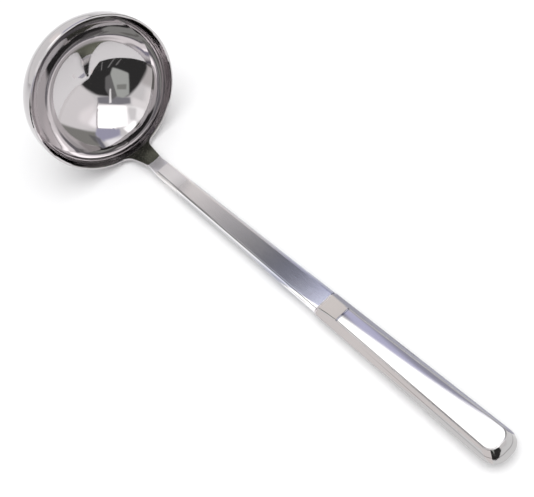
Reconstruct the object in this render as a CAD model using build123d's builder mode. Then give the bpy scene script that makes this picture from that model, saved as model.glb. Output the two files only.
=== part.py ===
"""Stainless soup ladle with a drawn bowl, a solid tapering shank and a hollow handle.

Units are millimetres. The ladle is drawn in its own side view, where u runs out from the
bowl's axis towards the handle and w runs up from the plane of the rim. It is then laid on
the surface that it rests on: +Z is up and +X points from the bowl to the end of the handle.
"""
import os
from math import asin, atan, atan2, cos, degrees, hypot, radians, sin, sqrt

from build123d import *

os.makedirs("parts", exist_ok=True)

# Bowl, by its outer face
rim_radius = 46.0
bowl_depth = 38.2
wall_height = 4.0
side_radius = 21.4
sheet = 1.4
rim_ease = 0.4

# Tongue, the raised neck of the drawn bowl
tongue_height = 18.0
tongue_foot_half_width = 7.6
tongue_tip_half_width = 4.6
tongue_fillet = 6.2
tongue_spread = 17.0

# The trough in the tongue: the heights of its sections, and the dish, half width and
# outward step of the floor at each of them
height_shares = (0.28, 0.5, 0.72)
dish_radii = (30.0, 22.0, 19.0)
dish_half_widths = (11.0, 8.6, 7.6)
floor_steps = (0.03, 0.1, 0.22)
tip_radius = 18.0
tip_step = 0.4

# Shank
handle_angle = 77.0
neck_reach = 46.5
neck_height = 25.9
shank_length = 137.0
neck_thickness = 3.6
shank_thickness = 4.5
neck_half_width = 5.4
mouth_half_width = 7.5
tang_length = 34.0
tang_half_width = 4.5
tang_thickness = 3.0
tang_corner = 0.5
tang_clearance = 0.2

# Handle
mouth_weld_length = 1.0
ramp_length = 12.5
handle_length = 120.5
end_bevel = 5.2
seam_half_width_front = 7.9
seam_half_width_end = 9.9
seam_corner = 8.0
top_half_width_front = 4.2
top_half_width_end = 7.0
top_corner = 5.4
mouth_half_height = 2.75
front_half_height = 4.0
end_half_height = 6.3
shell_wall = 1.0
front_wall = 2.5
top_edge_radius = 1.1
bead_width = 0.7
bead_depth = 0.45

# Cuts run past what they cut by this much
overrun = 12.0

# The bowl's side arc runs into the bottom arc, which is centred on the bowl's axis
side_u = rim_radius - side_radius
side_depth = bowl_depth - wall_height
bottom_radius = (side_u ** 2 + side_depth ** 2 - side_radius ** 2) / (side_depth - side_radius) / 2
bottom_w = bottom_radius - bowl_depth
turn = degrees(atan2(side_u, bottom_w + wall_height))
inner_rim = rim_radius - sheet

# Side view: directions along the shank and square to it
along = (cos(radians(handle_angle)), sin(radians(handle_angle)))
square = (-along[1], along[0])
neck_u = neck_reach - square[0] * neck_thickness / 2
neck_w = neck_height - square[1] * neck_thickness / 2

# Stations along the shank's middle line, from the neck line
mouth = shank_length + mouth_weld_length
ramp_end = mouth + ramp_length
handle_end = mouth + handle_length
top_end = handle_end - end_bevel
cavity_start = mouth + front_wall
tang_end = shank_length + tang_length

# The resting line touches the bowl's side arc and the handle's lower end edge
rest_u = neck_u + along[0] * top_end - square[0] * end_half_height - side_u
rest_w = neck_w + along[1] * top_end - square[1] * end_half_height + wall_height
lean = degrees(atan2(rest_w, rest_u) + asin(side_radius / hypot(rest_u, rest_w)))

# Place of the rim's centre, with the origin under the middle of the ladle
across = (cos(radians(lean)), -sin(radians(lean)))
upward = (sin(radians(lean)), cos(radians(lean)))
back_x = bottom_w * upward[0] - bottom_radius
end_u = neck_u + along[0] * handle_end
end_w = neck_w + along[1] * handle_end
front_x = end_u * across[0] + end_w * upward[0]
rim_x = -(back_x + front_x) / 2
rim_z = side_radius - side_u * across[1] + wall_height * upward[1]


def place(u, w):
    """Point of the laid ladle for a point of its side view."""
    x = rim_x + u * across[0] + w * upward[0]
    z = rim_z + u * across[1] + w * upward[1]
    return Vector(x, 0, z)


def heading(u, w):
    """Direction of the laid ladle for a direction of its side view."""
    return Vector(u * across[0] + w * upward[0], 0, u * across[1] + w * upward[1])


shank_way = heading(*along)
shank_up = heading(*square)
neck_middle = place(neck_u, neck_w)
side_view = Plane(origin=place(0, 0), x_dir=heading(1, 0), z_dir=(0, -1, 0))
front_view = Plane(origin=place(0, 0), x_dir=(0, 1, 0), z_dir=heading(1, 0))
shank_side = Plane(origin=neck_middle, x_dir=shank_way, z_dir=(0, -1, 0))
mid_plane = Plane(origin=neck_middle, x_dir=shank_way, z_dir=shank_up)
bowl_axis = Axis(place(0, 0), heading(0, 1))


def level(u, w):
    """Plane parallel to the rim through a point of the side view, with x outwards."""
    return Plane(origin=place(u, w), x_dir=heading(1, 0), z_dir=heading(0, 1))


def station(q):
    """Plane square to the shank at the distance q past the neck line, with x sideways."""
    return Plane(origin=neck_middle + shank_way * q, x_dir=(0, 1, 0), z_dir=shank_way)


def taper(q, front, end, q_end):
    """Size at the station q of a taper that runs straight from the mouth to q_end."""
    return front + (end - front) * (q - mouth) / (q_end - mouth)


def dished_band(inner, outer, half_width):
    """Slice of dished sheet, drawn about the centre of its dish."""
    inner_spread = degrees(asin(half_width / inner))
    outer_spread = degrees(asin(half_width / outer))
    inner_x = sqrt(inner ** 2 - half_width ** 2)
    outer_x = sqrt(outer ** 2 - half_width ** 2)
    with BuildLine() as band:
        CenterArc((0, 0), inner, -inner_spread, inner_spread * 2)
        Line((inner_x, half_width), (outer_x, half_width))
        CenterArc((0, 0), outer, -outer_spread, outer_spread * 2)
        Line((outer_x, -half_width), (inner_x, -half_width))
    make_face(band.edges())


def tapered_outline(start, end, front_half, end_half, corner):
    """Outline with tapering sides and a rounded end, drawn from its start along x."""
    with BuildLine() as outline:
        Polyline((start, -front_half), (end, -end_half), (end, end_half),
                 (start, front_half), close=True)
    face = make_face(outline.edges())
    fillet(face.vertices().sort_by(Axis.X)[-2:], corner)


# The floor of the trough at the tongue's tip
tip_floor = inner_rim + tip_step

with BuildPart() as bowl:
    # Drawn bowl: a round bottom, a tighter side, a short straight wall and an eased rim
    with BuildSketch(side_view) as bowl_profile:
        with BuildLine():
            Line((rim_radius, -wall_height), (rim_radius, 0))
            Line((rim_radius, 0), (inner_rim, 0))
            Line((inner_rim, 0), (inner_rim, -wall_height))
            CenterArc((side_u, -wall_height), side_radius, turn - 90, 90 - turn)
            CenterArc((side_u, -wall_height), side_radius - sheet, turn - 90, 90 - turn)
            CenterArc((0, bottom_w), bottom_radius, -90, turn)
            CenterArc((0, bottom_w), bottom_radius - sheet, -90, turn)
            Line((0, bottom_w - bottom_radius + sheet), (0, bottom_w - bottom_radius))
        make_face()
        chamfer(bowl_profile.vertices().sort_by(Axis.Y)[-2:], rim_ease)
    revolve(axis=bowl_axis)

with BuildPart() as tongue_form:
    # Root of the tongue, which fills out the eased rim
    with BuildSketch(level(0, -wall_height)):
        dished_band(inner_rim, rim_radius, tongue_spread)
    extrude(amount=wall_height)
    # Sections of the tongue, from the rim up to the tip
    with BuildSketch(level(0, 0)):
        dished_band(inner_rim, rim_radius, tongue_spread)
    for share, dish, half, step in zip(height_shares, dish_radii, dish_half_widths, floor_steps):
        with BuildSketch(level(inner_rim + step - dish, share * tongue_height)):
            dished_band(dish, dish + sheet, half)
    with BuildSketch(level(tip_floor - tip_radius, tongue_height)):
        dished_band(tip_radius, tip_radius + sheet, dish_half_widths[-1])
    loft()
    # Edges of the tongue, flaring into the rim
    with BuildSketch(front_view) as tongue_edges:
        with BuildLine():
            Polyline((-tongue_spread, -overrun), (tongue_spread, -overrun),
                     (tongue_spread, -rim_ease), (tongue_foot_half_width, -rim_ease),
                     (tongue_tip_half_width, tongue_height),
                     (-tongue_tip_half_width, tongue_height),
                     (-tongue_foot_half_width, -rim_ease), (-tongue_spread, -rim_ease),
                     close=True)
        make_face()
        feet = tongue_edges.vertices().filter_by(
            lambda v: abs(abs(v.X) - tongue_foot_half_width) < rim_ease)
        fillet(feet, tongue_fillet)
    extrude(amount=rim_radius + overrun, mode=Mode.INTERSECT)

with bowl:
    add(tongue_form.part)

bowl.part.label = "bowl"
export_step(bowl.part, "parts/bowl.step")

with BuildPart() as neck_weld:
    # Ground butt weld that fills out from the sheet to the bar
    with BuildSketch(level(tip_floor - tip_radius, tongue_height)):
        dished_band(tip_radius, tip_radius + sheet, tongue_tip_half_width)
    with BuildSketch(station(0)):
        SlotOverall(neck_half_width * 2, neck_thickness)
    loft()

neck_weld.part.label = "neck_weld"
export_step(neck_weld.part, "parts/neck_weld.step")

with BuildPart() as shank:
    with BuildSketch(station(0)):
        SlotOverall(neck_half_width * 2, neck_thickness)
    with BuildSketch(station(shank_length)):
        SlotOverall(mouth_half_width * 2, shank_thickness)
    loft()
    # Tang that runs into the handle
    with BuildSketch(station(shank_length)):
        RectangleRounded(tang_half_width * 2, tang_thickness, tang_corner)
    extrude(amount=tang_length)

shank.part.label = "shank"
export_step(shank.part, "parts/shank.step")


def rise(q):
    """Height of the handle's flat face over the middle line at the station q."""
    slope = (end_half_height - front_half_height) / (top_end - ramp_end)
    return front_half_height + (q - ramp_end) * slope


tilt = atan(rise(1) - rise(0))


def flat_plane(start, drop):
    """Plane of the handle's flat face at the station start, lowered by drop."""
    lean_way = shank_way * cos(tilt) + shank_up * sin(tilt)
    lean_up = shank_up * cos(tilt) - shank_way * sin(tilt)
    origin = neck_middle + shank_way * start + shank_up * (rise(start) - drop)
    return Plane(origin=origin, x_dir=lean_way, z_dir=lean_up)


def half_handle(start, inset, drop):
    """Upper half of the handle's form from the station start, inset and lowered."""
    seam_front = taper(start, seam_half_width_front, seam_half_width_end, handle_end)
    flat_front = taper(start, top_half_width_front, top_half_width_end, top_end)
    with BuildSketch(mid_plane) as seam_face:
        tapered_outline(start, handle_end - inset, seam_front - inset,
                        seam_half_width_end - inset, seam_corner - inset)
    with BuildSketch(flat_plane(start, drop)) as flat_face:
        tapered_outline(0, (top_end - inset - start) / cos(tilt), flat_front - inset / 2,
                        top_half_width_end - inset / 2, top_corner - inset / 2)
    loft([seam_face.sketch, flat_face.sketch])


def ramp_cut(lowered):
    """Cut away what stands over the ramp at the front of the handle."""
    ramp_slope = (rise(ramp_end) - mouth_half_height) / ramp_length
    near = mouth_half_height - lowered - overrun * ramp_slope
    far = rise(ramp_end) - lowered + overrun * ramp_slope
    with BuildSketch(shank_side) as over_ramp:
        with BuildLine() as edge:
            Polyline((mouth - overrun, near), (ramp_end + overrun, far),
                     (ramp_end + overrun, far + overrun), (mouth - overrun, far + overrun),
                     close=True)
        make_face(edge.edges())
    extrude(over_ramp.sketch, amount=seam_half_width_end + overrun, both=True,
            mode=Mode.SUBTRACT)


with BuildPart() as upper_form:
    half_handle(mouth, 0, 0)
    ramp_cut(0)

with BuildPart() as upper_cavity:
    half_handle(cavity_start, shell_wall, shell_wall)
    ramp_cut(shell_wall)

with BuildPart() as seam_ring:
    # Ring around the seam, open at the mouth
    with BuildSketch(mid_plane):
        tapered_outline(mouth, handle_end + overrun, seam_half_width_end + overrun,
                        seam_half_width_end + overrun, seam_corner)
    extrude(amount=bead_width / 2, both=True)
    with BuildSketch(mid_plane) as inside_ring:
        tapered_outline(mouth, handle_end - bead_depth, seam_half_width_front - bead_depth,
                        seam_half_width_end - bead_depth, seam_corner - bead_depth)
    extrude(inside_ring.sketch, amount=overrun, both=True, mode=Mode.SUBTRACT)

with BuildPart() as tang_passage:
    # Way through the front wall for the tang
    with BuildSketch(station(mouth)):
        RectangleRounded((tang_half_width + tang_clearance) * 2,
                         tang_thickness + tang_clearance * 2, tang_corner + tang_clearance)
    extrude(amount=overrun)

with BuildPart() as handle_top_shell:
    add(upper_form.part)
    flat = handle_top_shell.faces().sort_by(Axis(neck_middle, shank_up))[-1]
    fillet(flat.edges(), top_edge_radius)
    add(upper_cavity.part, mode=Mode.SUBTRACT)
    add(seam_ring.part, mode=Mode.SUBTRACT)
    add(tang_passage.part, mode=Mode.SUBTRACT)

handle_top_shell.part.label = "handle_top_shell"
export_step(handle_top_shell.part, "parts/handle_top_shell.step")

with BuildPart() as handle_bottom_shell:
    add(mirror(handle_top_shell.part, about=mid_plane))

handle_bottom_shell.part.label = "handle_bottom_shell"
export_step(handle_bottom_shell.part, "parts/handle_bottom_shell.step")

with BuildPart() as seam_weld:
    add(upper_form.part)
    add(mirror(upper_form.part, about=mid_plane))
    add(seam_ring.part, mode=Mode.INTERSECT)

seam_weld.part.label = "seam_weld"
export_step(seam_weld.part, "parts/seam_weld.step")

# The front face of the handle, which the mouth weld meets
flat_half = taper(mouth, top_half_width_front, top_half_width_end, top_end)
side_share = mouth_half_height / rise(mouth)
mouth_top_half = seam_half_width_front + (flat_half - seam_half_width_front) * side_share

with BuildPart() as mouth_weld:
    # Collar of weld around the tang, from the shank's section to the handle's
    with BuildSketch(station(shank_length)):
        with BuildLine() as bar_edge:
            Polyline((mouth_half_width, 0), (tang_half_width, shank_thickness / 2),
                     (-tang_half_width, shank_thickness / 2), (-mouth_half_width, 0),
                     (-tang_half_width, -shank_thickness / 2),
                     (tang_half_width, -shank_thickness / 2), close=True)
        make_face(bar_edge.edges())
    with BuildSketch(station(mouth)):
        with BuildLine() as handle_edge:
            Polyline((seam_half_width_front, 0), (mouth_top_half, mouth_half_height),
                     (-mouth_top_half, mouth_half_height), (-seam_half_width_front, 0),
                     (-mouth_top_half, -mouth_half_height),
                     (mouth_top_half, -mouth_half_height), close=True)
        make_face(handle_edge.edges())
    loft()
    with BuildSketch(station(shank_length)):
        RectangleRounded(tang_half_width * 2, tang_thickness, tang_corner)
    extrude(amount=overrun, mode=Mode.SUBTRACT)

mouth_weld.part.label = "mouth_weld"
export_step(mouth_weld.part, "parts/mouth_weld.step")
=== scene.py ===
"""Looks of the stainless soup ladle: metals, floor, soft studio and camera.

Lengths are metres in the shared frame. The ladle lies along X, with the bowl at the low end and
the handle at the high end, and is even about Y = 0.
"""
from math import cos, radians, sin

import bpy
from mathutils import Matrix, Vector

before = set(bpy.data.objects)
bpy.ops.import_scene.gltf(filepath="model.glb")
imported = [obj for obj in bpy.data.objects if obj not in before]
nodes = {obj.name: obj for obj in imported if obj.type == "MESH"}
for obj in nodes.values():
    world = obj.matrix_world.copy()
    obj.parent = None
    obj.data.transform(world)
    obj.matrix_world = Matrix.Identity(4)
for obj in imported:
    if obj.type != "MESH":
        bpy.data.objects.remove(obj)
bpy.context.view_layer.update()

scene = bpy.context.scene

# Every steel: how its tint drifts, and how deep its scratches are
TINT_CLOUD_SCALE = 45.0
TINT_DRIFT = 0.04
SCRATCH_DEPTH = 0.0001

# Bowl: where along X the tongue's painted dark reflection begins, and how far a face has to look
# up for it
DARK_REFLECTION_START = (-0.1215, -0.1165)
DARK_REFLECTION_FACING = (0.2, 0.5)
DARK_REFLECTION_DULL = 0.22

# Handle: the height of its seam plane at X = 0, and how much the plane climbs along X
SEAM_HEIGHT = 0.00556
SEAM_CLIMB = 0.00457
FLAT_FACING = (0.75, 0.85)
# Crown across the flat face, as place along X and radius at both ends, and the sides' crown
FLAT_CROWN = ((0.07, 0.045), (0.15, 0.09))
SIDE_CROWN_RADIUS = 0.03
SIDE_CROWN_TOP = 0.0063
# The fold between ramp and flat face with its painted shade line, and the painted dark reflection
# line along the sides
FOLD = 0.0588
FOLD_SHADE_EDGE = (0.0003, 0.0008)
FLAT_START = (0.0582, 0.0592)
SIDE_REFLECTION_LINE_HEIGHT = 0.0025
SIDE_REFLECTION_LINE_EDGE = (0.00008, 0.0003)
SIDE_REFLECTION_LINE_START = (0.07, 0.13)

# Shank: where along X the ground zone ends, the painted bluish reflection at the mouth end begins
# and the painted dark reflection line fades
GROUND_END = (-0.084, -0.062)
GROUND_DULL = 0.34
MOUTH_REFLECTION_START = (-0.015, 0.02)
EDGE_REFLECTION_FADE = (-0.05, -0.03)
# Distance of the painted dark reflection line from the middle at X = 0, and how it widens along X
EDGE_REFLECTION_OFFSET = 0.0047
EDGE_REFLECTION_SPREAD = 0.0121
EDGE_REFLECTION_WIDTH = (0.0001, 0.0005)
# The painted highlight strip covers the side where the spread times X, minus Y, is over these
HIGHLIGHT_SPREAD = 0.12
HIGHLIGHT_EDGE = (0.009, 0.0098)

# Studio
FLOOR_SIZE = 6
FLOOR_DROP = 0.0001
CARD_HEIGHT = 0.0002
LEG_HEIGHT = 2 * CARD_HEIGHT
ROOM_LIGHT = 0.66
LAMP_SIZE = 1.5
LAMP_ENERGY = 11.8
LAMP_PLACE = (0.1, 0.0, 1.2)

# Camera, fitted to the photograph: angles in degrees, target on the floor, focal length in
# pixels of the photograph, which is PHOTO_WIDTH across
AZIMUTH, ELEVATION, ROLL = -25.7809, 55.1133, -20.0462
TARGET = (-0.006549, 0.00457, 0)
DISTANCE = 0.54722
FOCAL_PIXELS = 1000
PHOTO_WIDTH = 534
SENSOR_WIDTH = 36
CLIP_START = 0.01


def node(tree, kind, place=(0, 0), **values):
    """Shader node with its inputs or properties set."""
    made = tree.nodes.new(kind)
    made.location = place
    for name, value in values.items():
        if name in made.inputs:
            made.inputs[name].default_value = value
        else:
            setattr(made, name, value)
    return made


def link(tree, source, out, target, into):
    """Links two nodes' sockets by name or number."""
    tree.links.new(source.outputs[out], target.inputs[into])


def colour_inputs(mix):
    """The two colour sockets of a Mix node."""
    return [socket for socket in mix.inputs if socket.type == "RGBA"]


def steel(name, colour, rough, rough_span, stretch, scratch, bump):
    """Stainless steel with fine scratches along the ladle, and slight tint and roughness drift."""
    mat = bpy.data.materials.new(name)
    mat.use_nodes = True
    tree = mat.node_tree
    shader = tree.nodes["Principled BSDF"]
    shader.inputs["Metallic"].default_value = 1.0
    place = node(tree, "ShaderNodeTexCoord", (-1200, 0))
    place.name = "place"
    scale = node(tree, "ShaderNodeMapping", (-1000, 0))
    scale.inputs["Scale"].default_value = stretch
    link(tree, place, "Object", scale, "Vector")
    lines = node(tree, "ShaderNodeTexNoise", (-800, 120), Scale=scratch, Detail=4.0, Roughness=0.6)
    link(tree, scale, "Vector", lines, "Vector")
    cloud = node(tree, "ShaderNodeTexNoise", (-800, -160), Scale=TINT_CLOUD_SCALE, Detail=2.0)
    link(tree, place, "Object", cloud, "Vector")
    ramp = node(tree, "ShaderNodeMapRange", (-560, 120))
    ramp.inputs["To Min"].default_value = rough - rough_span
    ramp.inputs["To Max"].default_value = rough + rough_span
    link(tree, lines, "Fac", ramp, "Value")
    link(tree, ramp, "Result", shader, "Roughness")
    mix = node(tree, "ShaderNodeMix", (-560, -160), data_type="RGBA")
    for socket, shade in zip(colour_inputs(mix), (1 - TINT_DRIFT, 1 + TINT_DRIFT)):
        socket.default_value = (*[channel * shade for channel in colour], 1)
    link(tree, cloud, "Fac", mix, "Factor")
    link(tree, mix, 2, shader, "Base Color")
    rise = node(tree, "ShaderNodeBump", (-300, -300), Strength=bump, Distance=SCRATCH_DEPTH)
    rise.name = "scratches"
    link(tree, lines, "Fac", rise, "Height")
    link(tree, rise, "Normal", shader, "Normal")
    return mat


def calc(tree, operation, *values):
    """Math node on numbers and sockets, giving its output."""
    made = node(tree, "ShaderNodeMath", operation=operation)
    for socket, value in zip(made.inputs, values):
        if isinstance(value, (int, float)):
            socket.default_value = value
        else:
            tree.links.new(value, socket)
    return made.outputs[0]


def step(tree, value, low, high):
    """Smooth step of a socket from 0 at low to 1 at high."""
    made = node(tree, "ShaderNodeMapRange", interpolation_type="SMOOTHSTEP")
    made.inputs["From Min"].default_value = low
    made.inputs["From Max"].default_value = high
    tree.links.new(value, made.inputs["Value"])
    return made.outputs["Result"]


def outside(tree, mask):
    """The rest of a mask."""
    return calc(tree, "SUBTRACT", 1, mask)


def stripe(tree, distance, inner, outer):
    """Mask that is 1 within inner of the place where distance is 0, and 0 beyond outer."""
    return outside(tree, step(tree, calc(tree, "ABSOLUTE", distance), inner, outer))


def split(mat, kind, place):
    """X, Y and Z sockets of a material's Object place or true Normal."""
    tree = mat.node_tree
    made = node(tree, "ShaderNodeSeparateXYZ", place)
    link(tree, tree.nodes["place"], kind, made, "Vector")
    return made.outputs["X"], made.outputs["Y"], made.outputs["Z"]


def blend_tint(mat, mask, colour, amount=1):
    """Mixes a colour into the base colour by a mask."""
    tree = mat.node_tree
    if amount != 1:
        mask = calc(tree, "MULTIPLY", mask, amount)
    mix = node(tree, "ShaderNodeMix", (-100, -160), data_type="RGBA")
    under, over = colour_inputs(mix)
    base = tree.nodes["Principled BSDF"].inputs["Base Color"]
    tree.links.new(base.links[0].from_socket, under)
    over.default_value = (*colour, 1)
    tree.links.new(mask, mix.inputs["Factor"])
    tree.links.new(mix.outputs[2], base)


def add_roughness(mat, mask, amount):
    """Makes a material duller by a mask."""
    tree = mat.node_tree
    roughness = tree.nodes["Principled BSDF"].inputs["Roughness"]
    more = calc(tree, "MULTIPLY", mask, amount)
    tree.links.new(calc(tree, "ADD", roughness.links[0].from_socket, more), roughness)


mirror_steel = steel("mirror_steel", colour=(0.56, 0.538, 0.545), rough=0.05, rough_span=0.015,
                     stretch=(1, 1, 1), scratch=900, bump=0.012)
brushed_steel = steel("brushed_steel", colour=(0.58, 0.575, 0.585), rough=0.11, rough_span=0.03,
                      stretch=(0.03, 1, 1), scratch=4000, bump=0.06)
weld_steel = steel("weld_steel", colour=(0.8, 0.78, 0.8), rough=0.36, rough_span=0.06,
                   stretch=(0.3, 1, 1), scratch=2500, bump=0.2)
satin_steel = steel("satin_steel", colour=(0.5, 0.49, 0.488), rough=0.06, rough_span=0.02,
                    stretch=(0.04, 1, 1), scratch=3000, bump=0.03)

# Bowl: the upper side of the tongue is painted a dark olive, a painted dark reflection
tree = mirror_steel.node_tree
along, _, _ = split(mirror_steel, "Object", (-1000, -500))
_, _, facing_up = split(mirror_steel, "Normal", (-1000, -700))
painted_dark_reflection = calc(tree, "MULTIPLY", step(tree, along, *DARK_REFLECTION_START),
              step(tree, facing_up, *DARK_REFLECTION_FACING))
# painted dark reflection on the tongue's upper faces
blend_tint(mirror_steel, painted_dark_reflection, (0.12, 0.125, 0.098))
add_roughness(mirror_steel, painted_dark_reflection, DARK_REFLECTION_DULL)

# Handle: slightly crowned faces
tree = satin_steel.node_tree
along, aside, up = split(satin_steel, "Object", (-1000, -500))
_, _, facing_up = split(satin_steel, "Normal", (-1000, -700))
flat = step(tree, calc(tree, "ABSOLUTE", facing_up), *FLAT_FACING)
sides = outside(tree, flat)
above_seam = calc(tree, "SUBTRACT", calc(tree, "SUBTRACT", up, SEAM_HEIGHT),
                  calc(tree, "MULTIPLY", along, SEAM_CLIMB))
bend = node(tree, "ShaderNodeMapRange")
for (start, radius), end in zip(FLAT_CROWN, ("Min", "Max")):
    bend.inputs["From " + end].default_value = start
    bend.inputs["To " + end].default_value = -1 / (2 * radius)
tree.links.new(along, bend.inputs["Value"])
flat_drop = calc(tree, "MULTIPLY", calc(tree, "POWER", aside, 2), bend.outputs["Result"])
flat_drop = calc(tree, "MULTIPLY", flat_drop, step(tree, along, *FLAT_START))
from_top = calc(tree, "SUBTRACT", SIDE_CROWN_TOP, calc(tree, "ABSOLUTE", above_seam))
side_drop = calc(tree, "MULTIPLY", calc(tree, "POWER", from_top, 2), -1 / (2 * SIDE_CROWN_RADIUS))
crown = calc(tree, "ADD", calc(tree, "MULTIPLY", flat_drop, flat),
             calc(tree, "MULTIPLY", side_drop, sides))
bulge = node(tree, "ShaderNodeBump", (-500, -500), Strength=1.0, Distance=1.0)
tree.links.new(crown, bulge.inputs["Height"])
link(tree, bulge, "Normal", tree.nodes["scratches"], "Normal")

# Handle: a fine painted dark reflection line along the sides, and a painted shade line at the fold
# at the foot of the ramp
side_reflection_line = stripe(tree, calc(tree, "SUBTRACT", above_seam, SIDE_REFLECTION_LINE_HEIGHT), *SIDE_REFLECTION_LINE_EDGE)
side_reflection_line = calc(tree, "MULTIPLY", side_reflection_line,
                calc(tree, "MULTIPLY", sides, step(tree, along, *SIDE_REFLECTION_LINE_START)))
# painted dark reflection line along the sides
blend_tint(satin_steel, side_reflection_line, (0.2, 0.19, 0.19), 0.7)
# painted shade line at the fold between ramp and flat face
fold_shade_line = calc(tree, "MULTIPLY", stripe(tree, calc(tree, "SUBTRACT", along, FOLD), *FOLD_SHADE_EDGE), flat)
blend_tint(satin_steel, fold_shade_line, (0.13, 0.13, 0.16), 0.85)

# Shank: ground lighter and duller beside the neck weld, with a painted dark reflection line along
# one edge. Towards the handle it has a darker bluish painted reflection, and a painted highlight
# strip runs along the same edge.
tree = brushed_steel.node_tree
along, aside, _ = split(brushed_steel, "Object", (-1000, -500))
ground = outside(tree, step(tree, along, *GROUND_END))
blend_tint(brushed_steel, ground, (0.92, 0.89, 0.88))
add_roughness(brushed_steel, ground, GROUND_DULL)
# painted bluish reflection, darker towards the handle
blend_tint(brushed_steel, step(tree, along, *MOUTH_REFLECTION_START), (0.45, 0.46, 0.54))
# painted dark reflection line along one edge
from_edge_reflection = calc(tree, "ADD", calc(tree, "MULTIPLY", along, EDGE_REFLECTION_SPREAD), EDGE_REFLECTION_OFFSET)
from_edge_reflection = calc(tree, "ADD", aside, from_edge_reflection)
edge_reflection = calc(tree, "MULTIPLY", stripe(tree, from_edge_reflection, *EDGE_REFLECTION_WIDTH),
             outside(tree, step(tree, along, *EDGE_REFLECTION_FADE)))
blend_tint(brushed_steel, edge_reflection, (0.33, 0.32, 0.33), 0.8)
# painted highlight strip along the same edge
painted_highlight = calc(tree, "SUBTRACT", calc(tree, "MULTIPLY", along, HIGHLIGHT_SPREAD), aside)
blend_tint(brushed_steel, step(tree, painted_highlight, *HIGHLIGHT_EDGE), (0.97, 0.96, 0.96))

finish_of = {
    "bowl": mirror_steel,
    "neck_weld": weld_steel,
    "shank": brushed_steel,
    "mouth_weld": weld_steel,
    "handle_top_shell": satin_steel,
    "handle_bottom_shell": satin_steel,
    "seam_weld": satin_steel,
}
for name, mat in finish_of.items():
    mesh = nodes[name].data
    mesh.materials.clear()
    mesh.materials.append(mat)

# Floor
bpy.ops.mesh.primitive_plane_add(size=FLOOR_SIZE, location=(0, 0, -FLOOR_DROP))
floor = bpy.context.object
floor.name = "floor"
paper = bpy.data.materials.new("paper")
paper.use_nodes = True
shader = paper.node_tree.nodes["Principled BSDF"]
shader.inputs["Base Color"].default_value = (0.93, 0.93, 0.935, 1)
shader.inputs["Roughness"].default_value = 0.9
shader.inputs["Specular IOR Level"].default_value = 0.0
floor.data.materials.append(paper)


def card(name, corners, colour):
    """Studio card that only polished metal sees."""
    mesh = bpy.data.meshes.new(name)
    mesh.from_pydata(corners, [], [list(range(len(corners)))])
    made = bpy.data.objects.new(name, mesh)
    scene.collection.objects.link(made)
    paint = bpy.data.materials.new(name)
    paint.use_nodes = True
    glow = paint.node_tree.nodes["Principled BSDF"]
    glow.inputs["Base Color"].default_value = (0, 0, 0, 1)
    glow.inputs["Specular IOR Level"].default_value = 0.0
    glow.inputs["Emission Color"].default_value = (*colour, 1)
    glow.inputs["Emission Strength"].default_value = 1.0
    mesh.materials.append(paint)
    made.visible_camera = made.visible_diffuse = made.visible_shadow = False


def lying_card(name, corners, colour, height=CARD_HEIGHT):
    """Studio card that lies just over the floor."""
    card(name, [(x, y, height) for x, y in corners], colour)


def grey(level):
    """Colour of one level in all its channels."""
    return (level, level, level)


lying_card("dark_card", [(-0.025, -0.038), (-0.04, -3), (3, -3), (3, -0.038)], grey(0.045))
# Legs of the stands: near end, far end and width at the far end
LEGS = (
    ((-0.03, -0.085), (0.7, -0.46), 0.03),
    ((-0.015, -0.05), (0.8, -0.33), 0.02),
    ((-0.01, -0.13), (0.6, -0.6), 0.03),
)
for number, (near, far, width) in enumerate(LEGS):
    lying_card(f"stand_leg_{number}",
               [near, far, (far[0] + width, far[1] + width),
                (near[0] + width / 10, near[1] + width / 10)],
               grey(0.3), LEG_HEIGHT)
lying_card("grey_card", [(0.02, 0.0095), (0.16, 0.012), (0.16, 0.035), (0.02, 0.035)],
           (0.55, 0.55, 0.63))
card("pale_card",
     [(0.03, -0.022, CARD_HEIGHT), (0.175, -0.024, CARD_HEIGHT),
      (0.175, -0.024, 0.014), (0.03, -0.022, 0.012)],
     (1.14, 1.08, 1.07))
lying_card("far_paper", [(0.3, 0.15), (3, 0.5), (3, 3), (-0.3, 3), (-0.1, 0.4)],
           (0.98, 0.96, 0.96))

# Studio: a plain pale room, in which polished metal also sees the softboxes overhead, a pale
# wall, and the room's dark side
world = bpy.data.worlds.new("studio")
scene.world = world
world.use_nodes = True
sky = world.node_tree
sky.nodes.clear()
look = node(sky, "ShaderNodeTexCoord", (-1800, 0))


def direction(azimuth, elevation):
    """Unit vector towards an azimuth and elevation in degrees."""
    a, e = radians(azimuth), radians(elevation)
    return Vector((cos(e) * cos(a), cos(e) * sin(a), sin(e)))


def panel(under, corners, colour, soft):
    """Lays a flat panel, seen between its corners, over the colour under it."""
    rays = [direction(*corner) for corner in corners]
    middle = sum(rays, Vector())
    inside = None
    for one, two in zip(rays, rays[1:] + rays[:1]):
        wall = one.cross(two).normalized()
        wall = wall if wall.dot(middle) > 0 else -wall
        side = node(sky, "ShaderNodeVectorMath", operation="DOT_PRODUCT")
        link(sky, look, "Generated", side, 0)
        side.inputs[1].default_value = wall
        within = step(sky, side.outputs["Value"], -soft, soft)
        inside = within if inside is None else calc(sky, "MULTIPLY", inside, within)
    mix = node(sky, "ShaderNodeMixRGB")
    sky.links.new(inside, mix.inputs["Fac"])
    if isinstance(under, tuple):
        mix.inputs["Color1"].default_value = under
    else:
        sky.links.new(under, mix.inputs["Color1"])
    mix.inputs["Color2"].default_value = (*colour, 1)
    return mix.outputs["Color"]


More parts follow.
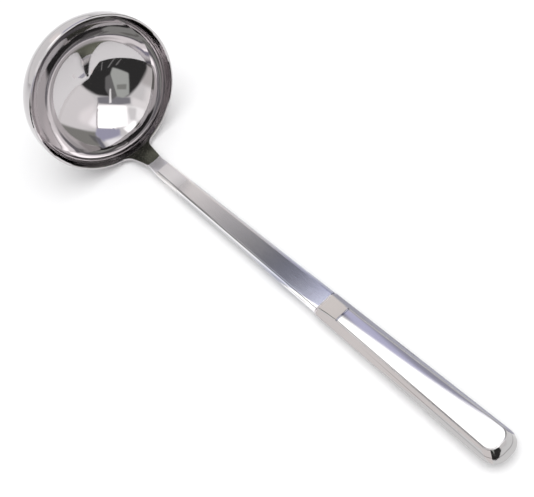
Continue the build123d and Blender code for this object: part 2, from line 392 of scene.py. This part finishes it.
# Each panel: corners as azimuth and elevation, colour, and how soft its edge is. A later panel
# lies over the earlier ones.
PANELS = (
    # left of the camera
    ([(-140, 28), (-75, 28), (-75, 64), (-140, 64)], (1.3, 1.27, 1.27), 0.1),
    ([(-110, -12), (-70, -12), (-66, 26), (-110, 26)], (0.74, 0.72, 0.71), 0.07),
    ([(-110, 44), (-50, 44), (-47, 54), (-60, 60), (-110, 62)], (1.24, 1.22, 1.22), 0.05),
    # pale wall ahead
    ([(9, -30), (64, -30), (68, 0), (62, 20), (48, 47), (30, 44), (9, 32)],
     (1.06, 1.04, 1.045), 0.02),
    ([(14, 30), (40, 20), (50, 24), (46, 44), (30, 42)], (1.28, 1.24, 1.25), 0.09),
    ([(22, 38), (46, 36), (49, 47), (30, 44)], (1.6, 1.58, 1.6), 0.06),
    # window side
    ([(64, -20), (100, -20), (98, 42), (86, 48), (50, 46), (58, 28), (61, 10)],
     (0.33, 0.33, 0.31), 0.04),
    ([(62, 28), (78, 44), (84, 46), (66, 46.5)], grey(0.2), 0.03),
    ([(48, 47), (62, 46), (78, 54), (74, 78), (30, 75), (41, 60)], (0.53, 0.53, 0.68), 0.03),
    ([(75, 56), (98, 58), (106, 76), (70, 80)], (1.4, 1.4, 1.43), 0.05),
    ([(66, 45), (98, 47), (98, 53), (68, 51)], (0.24, 0.24, 0.28), 0.03),
    # dark side of the room, with a lighter panel and a lit pole in it
    ([(-78, -20), (13, -20), (11, 5), (3, 24), (-8, 33), (-42, 43), (-62, 29), (-76, 5)],
     grey(0.045), 0.045),
    ([(-46, 40), (-46, 52), (-22, 50.5), (-5, 43.5), (9, 33), (3, 25), (-8, 32)],
     (0.33, 0.33, 0.36), 0.03),
    ([(-50, 12), (-45, 40), (-33, 43), (-23, 38), (-27, 8), (-33, 0)], (0.6, 0.63, 0.6), 0.025),
    ([(-44, 26), (-30, 24), (-28, 30), (-42, 33)], (0.35, 0.36, 0.34), 0.02),
    ([(-27, 8), (-24, 38), (-13, 40), (-12, 24), (-20, 9)], grey(0.22), 0.025),
    ([(-20, 26), (-18, 26), (-6, 42), (-10, 43)], grey(1.4), 0.015),
    # softboxes overhead, and the dark edge of the brightest
    ([(-85, 57), (-45, 53), (-20, 50), (9, 32), (48, 48), (34, 69), (10, 79), (-90, 82),
      (-110, 66)], grey(1.5), 0.04),
    ([(-36, 53), (-20, 50), (9, 32), (48, 48), (34, 69), (10, 79), (-20, 80)],
     grey(1.95), 0.025),
    ([(-60, 58), (-40, 56), (-36, 60), (-40, 74), (-66, 74)], grey(1.05), 0.04),
    ([(9, 40), (46, 48), (42, 58), (33, 68), (10, 64)], grey(3.3), 0.04),
    ([(-60, 74), (-120, 77), (180, 83), (60, 86), (20, 79)], grey(2.0), 0.03),
    ([(8, 30.8), (9, 33), (48, 48.8), (49, 47.2)], (0.55, 0.53, 0.54), 0.006),
    # beyond the bowl, which the shank and the handle reflect
    ([(130, 15), (180, 15), (180, 53), (130, 53)], (1.2, 1.13, 1.1), 0.03),
    ([(112, 50), (150, 50), (152, 61), (112, 62)], (0.85, 0.85, 1.15), 0.025),
    ([(100, 30), (137, 36), (137, 58), (100, 58)], (0.5, 0.5, 0.62), 0.03),
    ([(144, 50), (168, 50), (168, 57.8), (151, 57.8)], (0.5, 0.49, 0.51), 0.025),
    ([(146, 53.4), (168, 53.4), (168, 57), (149, 57)], (0.12, 0.12, 0.13), 0.02),
    ([(152, 58.4), (125, 58.8), (90, 70), (120, 82), (178, 78), (178, 61), (168, 58.6)],
     grey(2.6), 0.02),
    ([(179, 46), (179, 66), (-152, 62), (-143, 54), (-152, 42)], grey(0.1), 0.02),
    ([(-122, 25), (-104, 20), (-98, 60), (-136, 60)], (0.28, 0.27, 0.27), 0.03),
    ([(-148, 12), (-123, 12), (-123, 45), (-142, 50)], grey(1.7), 0.02),
)
room = (0.97, 0.965, 0.965, 1)
for corners, colour, soft in PANELS:
    room = panel(room, corners, colour, soft)

# Mirror reflections see the panels, and everything else sees an even pale room
plain = node(sky, "ShaderNodeBackground", (600, 200), Strength=ROOM_LIGHT)
plain.inputs["Color"].default_value = (1, 1, 1, 1)
mirrored = node(sky, "ShaderNodeBackground", (600, 0), Strength=1.0)
sky.links.new(room, mirrored.inputs["Color"])
path = node(sky, "ShaderNodeLightPath", (400, 400))
pick = node(sky, "ShaderNodeMixShader", (800, 100))
link(sky, path, "Is Glossy Ray", pick, "Fac")
link(sky, plain, 0, pick, 1)
link(sky, mirrored, 0, pick, 2)
output = node(sky, "ShaderNodeOutputWorld", (1000, 100))
link(sky, pick, 0, output, "Surface")

# Overhead softbox, aimed at the middle of the floor
top = bpy.data.lights.new("overhead", "AREA")
top.shape = "RECTANGLE"
top.size = top.size_y = LAMP_SIZE
top.energy = LAMP_ENERGY
lamp = bpy.data.objects.new("overhead", top)
scene.collection.objects.link(lamp)
lamp.location = LAMP_PLACE
lamp.visible_glossy = False
lamp.rotation_euler = (-lamp.location).to_track_quat("-Z", "Y").to_euler()
scene.view_settings.view_transform = "Standard"

# Camera
roll = radians(ROLL)
back = direction(AZIMUTH, ELEVATION)
right = Vector((0, 0, 1)).cross(back).normalized()
up = back.cross(right)
right, up = right * cos(roll) + up * sin(roll), up * cos(roll) - right * sin(roll)
place = Vector(TARGET) + back * DISTANCE
lens = bpy.data.cameras.new("camera")
lens.sensor_width = SENSOR_WIDTH
lens.lens = FOCAL_PIXELS / PHOTO_WIDTH * SENSOR_WIDTH
lens.clip_start = CLIP_START
camera = bpy.data.objects.new("camera", lens)
scene.collection.objects.link(camera)
camera.matrix_world = Matrix((
    (right.x, up.x, back.x, place.x),
    (right.y, up.y, back.y, place.y),
    (right.z, up.z, back.z, place.z),
    (0, 0, 0, 1)))
scene.camera = camera
